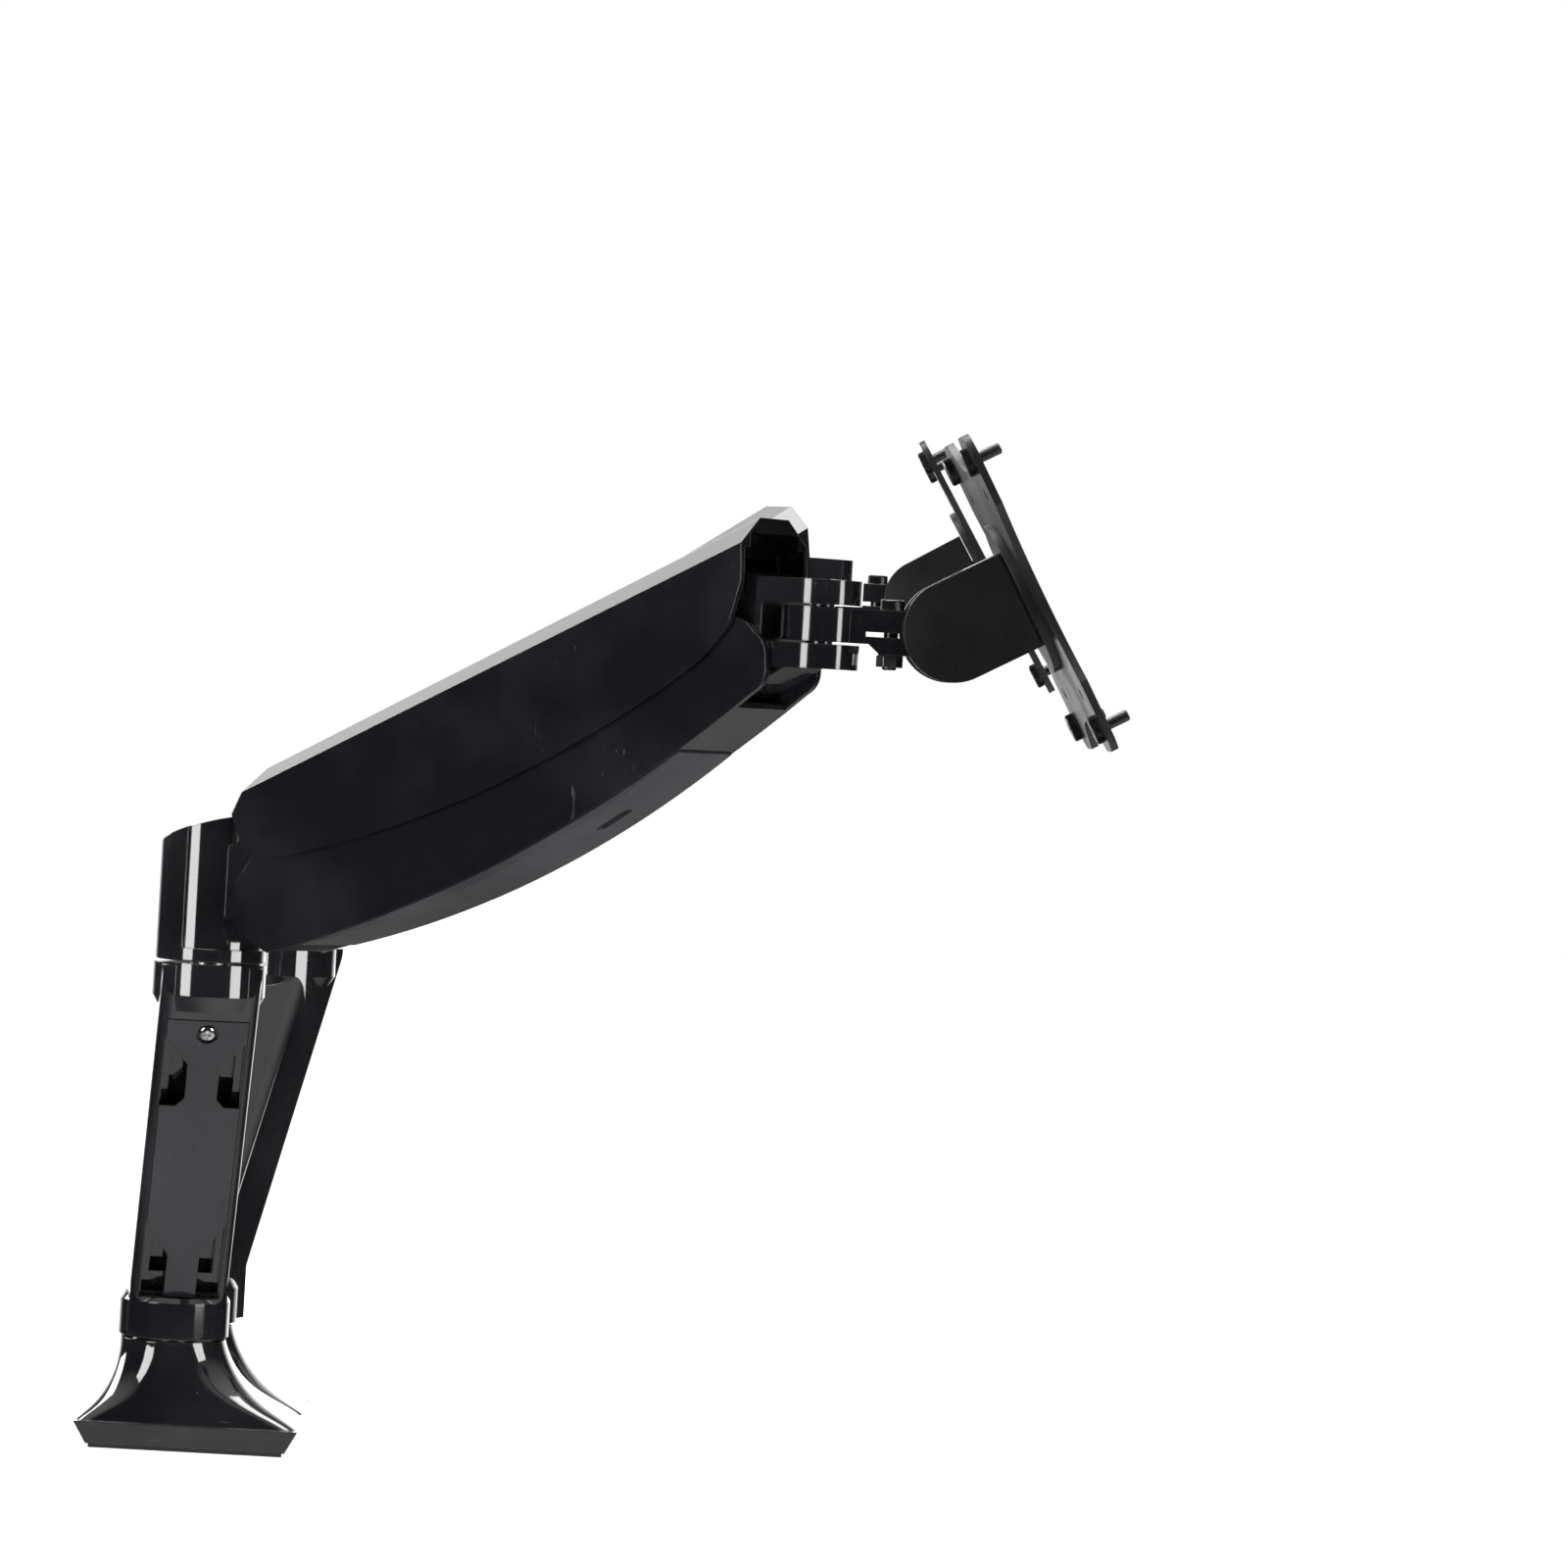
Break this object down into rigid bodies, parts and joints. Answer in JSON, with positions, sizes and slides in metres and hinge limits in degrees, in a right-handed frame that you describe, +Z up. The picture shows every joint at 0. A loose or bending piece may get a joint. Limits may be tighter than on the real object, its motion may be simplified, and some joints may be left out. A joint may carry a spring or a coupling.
{
  "type": "monitor arm",
  "caption": "Dual gas-spring monitor arm in gloss black: one desk foot, two raked lower arms, curved parallel-link upper arms, and tilting, turning screen plates.",
  "frame": {"origin": "underside of the foot on the desk top, midway between the two neck axes", "axes": "+Z up, +X from the back edge of the desk toward the screens, +Y from the near arm to the far arm"},
  "size_m": [0.3835, 0.6327, 0.4091],
  "materials": {
    "casting": "gloss black paint on cast metal",
    "gloss": "high-gloss black paint",
    "gloss_cover": "piano black",
    "satin": "satin black",
    "satin_metal": "satin black paint",
    "steel_black": "black powder coat on sheet steel",
    "grey_cover": "fine-textured dark grey",
    "spring_paint": "black painted steel",
    "steel": "machined",
    "chrome": "polished",
    "bush": "natural acetal",
    "rubber": "matt"
  },
  "bodies": {
    "base": {"base_casting": "casting", "base_pad": "rubber", "neck_posts": "steel"},
    "near_lower": {"near_lower_arm": "gloss", "near_cable_cover": "satin", "near_cable_cover_screw": "chrome", "near_base_bush": "bush", "near_elbow_post": "steel"},
    "near_elbow": {"near_knuckle": "gloss", "near_elbow_bush": "bush", "near_rear_pins": "steel", "near_spring_rear_pin": "steel"},
    "near_link_low": {"near_lower_link": "satin_metal", "near_bottom_cover": "grey_cover", "near_gas_cylinder": "spring_paint"},
    "near_rod": {"near_gas_rod": "chrome"},
    "near_link_high": {"near_upper_link": "steel_black", "near_top_cover": "gloss_cover", "near_top_cover_screws": "steel"},
    "near_bracket": {"near_front_bracket": "satin_metal", "near_front_pins": "steel", "near_swivel_pin": "steel"},
    "near_head": {"near_swivel_tongue": "satin_metal", "near_clamp_bolt": "steel", "near_clamp_nut": "steel"},
    "near_tilt": {"near_tilt_housing": "satin_metal", "near_tilt_axle": "steel"},
    "near_screen": {"near_rotation_disc": "steel_black", "near_vesa_plate": "steel_black", "near_vesa_screws": "steel"},
    "far_lower": {"far_lower_arm": "gloss", "far_cable_cover": "satin", "far_cable_cover_screw": "chrome", "far_base_bush": "bush", "far_elbow_post": "steel"},
    "far_elbow": {"far_knuckle": "gloss", "far_elbow_bush": "bush", "far_rear_pins": "steel", "far_spring_rear_pin": "steel"},
    "far_link_low": {"far_lower_link": "satin_metal", "far_bottom_cover": "grey_cover", "far_gas_cylinder": "spring_paint"},
    "far_rod": {"far_gas_rod": "chrome"},
    "far_link_high": {"far_upper_link": "steel_black", "far_top_cover": "gloss_cover", "far_top_cover_screws": "steel"},
    "far_bracket": {"far_front_bracket": "satin_metal", "far_front_pins": "steel", "far_swivel_pin": "steel"},
    "far_head": {"far_swivel_tongue": "satin_metal", "far_clamp_bolt": "steel", "far_clamp_nut": "steel"},
    "far_tilt": {"far_tilt_housing": "satin_metal", "far_tilt_axle": "steel"},
    "far_screen": {"far_rotation_disc": "steel_black", "far_vesa_plate": "steel_black", "far_vesa_screws": "steel"}
  },
  "joints": [
    {"name": "near_base_swivel", "type": "hinge", "parent": "base", "child": "near_lower", "pos_m": [0, -0.029, 0.042], "axis": [0, 0, 1], "range_deg": [-90, 30]},
    {"name": "near_elbow_swivel", "type": "hinge", "parent": "near_lower", "child": "near_elbow", "pos_m": [0.00974, -0.09832, 0.189], "axis": [0, 0, 1], "range_deg": [-100, 45]},
    {"name": "near_lift", "type": "hinge", "parent": "near_elbow", "child": "near_link_low", "pos_m": [0.03713, -0.12011, 0.214], "axis": [-0.6225, -0.7826, 0], "range_deg": [-46, 18]},
    {"name": "near_parallel_link", "type": "hinge", "parent": "near_elbow", "child": "near_link_high", "pos_m": [0.03713, -0.12011, 0.244], "axis": [-0.6225, -0.7826, 0], "range_deg": [-46, 18]},
    {"name": "near_bracket_level", "type": "hinge", "parent": "near_link_low", "child": "near_bracket", "pos_m": [0.198, -0.24806, 0.30552], "axis": [-0.6225, -0.7826, 0], "range_deg": [-18, 46]},
    {"name": "near_spring_stroke", "type": "slide", "parent": "near_link_low", "child": "near_rod", "axis": [0.7149, -0.5687, 0.4067], "range_m": [-0.0135, 0.0062]},
    {"name": "near_head_swivel", "type": "hinge", "parent": "near_bracket", "child": "near_head", "pos_m": [0.22304, -0.26798, 0.32502], "axis": [0, 0, 1], "range_deg": [-123.5, 46.5]},
    {"name": "near_head_tilt", "type": "hinge", "parent": "near_head", "child": "near_tilt", "pos_m": [0.26804, -0.26798, 0.32502], "axis": [0, -1, 0], "range_deg": [-74, 31]},
    {"name": "near_screen_turn", "type": "hinge", "parent": "near_tilt", "child": "near_screen", "pos_m": [0.26804, -0.26798, 0.32502], "axis": [0.8746, 0, 0.4848], "range_deg": [-90, 90]},
    {"name": "far_base_swivel", "type": "hinge", "parent": "base", "child": "far_lower", "pos_m": [0, 0.029, 0.042], "axis": [0, 0, 1], "range_deg": [-30, 90]},
    {"name": "far_elbow_swivel", "type": "hinge", "parent": "far_lower", "child": "far_elbow", "pos_m": [0.02847, 0.09295, 0.189], "axis": [0, 0, 1], "range_deg": [-45, 100]},
    {"name": "far_lift", "type": "hinge", "parent": "far_elbow", "child": "far_link_low", "pos_m": [0.05661, 0.11377, 0.214], "axis": [0.5948, -0.8039, 0], "range_deg": [-51, 13]},
    {"name": "far_parallel_link", "type": "hinge", "parent": "far_elbow", "child": "far_link_high", "pos_m": [0.05661, 0.11377, 0.244], "axis": [0.5948, -0.8039, 0], "range_deg": [-51, 13]},
    {"name": "far_bracket_level", "type": "hinge", "parent": "far_link_low", "child": "far_bracket", "pos_m": [0.2148, 0.23082, 0.32308], "axis": [0.5948, -0.8039, 0], "range_deg": [-13, 51]},
    {"name": "far_spring_stroke", "type": "slide", "parent": "far_link_low", "child": "far_rod", "axis": [0.7031, 0.5202, 0.4848], "range_m": [-0.0135, 0.0062]},
    {"name": "far_head_swivel", "type": "hinge", "parent": "far_bracket", "child": "far_head", "pos_m": [0.24052, 0.24986, 0.34258], "axis": [0, 0, 1], "range_deg": [-44.5, 125.5]},
    {"name": "far_head_tilt", "type": "hinge", "parent": "far_head", "child": "far_tilt", "pos_m": [0.28541, 0.24672, 0.34258], "axis": [-0.0698, -0.9976, 0], "range_deg": [-76, 29]},
    {"name": "far_screen_turn", "type": "hinge", "parent": "far_tilt", "child": "far_screen", "pos_m": [0.28541, 0.24672, 0.34258], "axis": [0.8551, -0.0598, 0.515], "range_deg": [-90, 90]}
  ],
  "couplings": [
    {"joint": "near_parallel_link", "follows": "near_lift", "ratio": 1},
    {"joint": "near_bracket_level", "follows": "near_lift", "ratio": -1},
    {"joint": "near_spring_stroke", "follows": "near_lift", "m_per_rad": 0.014016},
    {"joint": "far_parallel_link", "follows": "far_lift", "ratio": 1},
    {"joint": "far_bracket_level", "follows": "far_lift", "ratio": -1},
    {"joint": "far_spring_stroke", "follows": "far_lift", "m_per_rad": 0.014016}
  ]
}
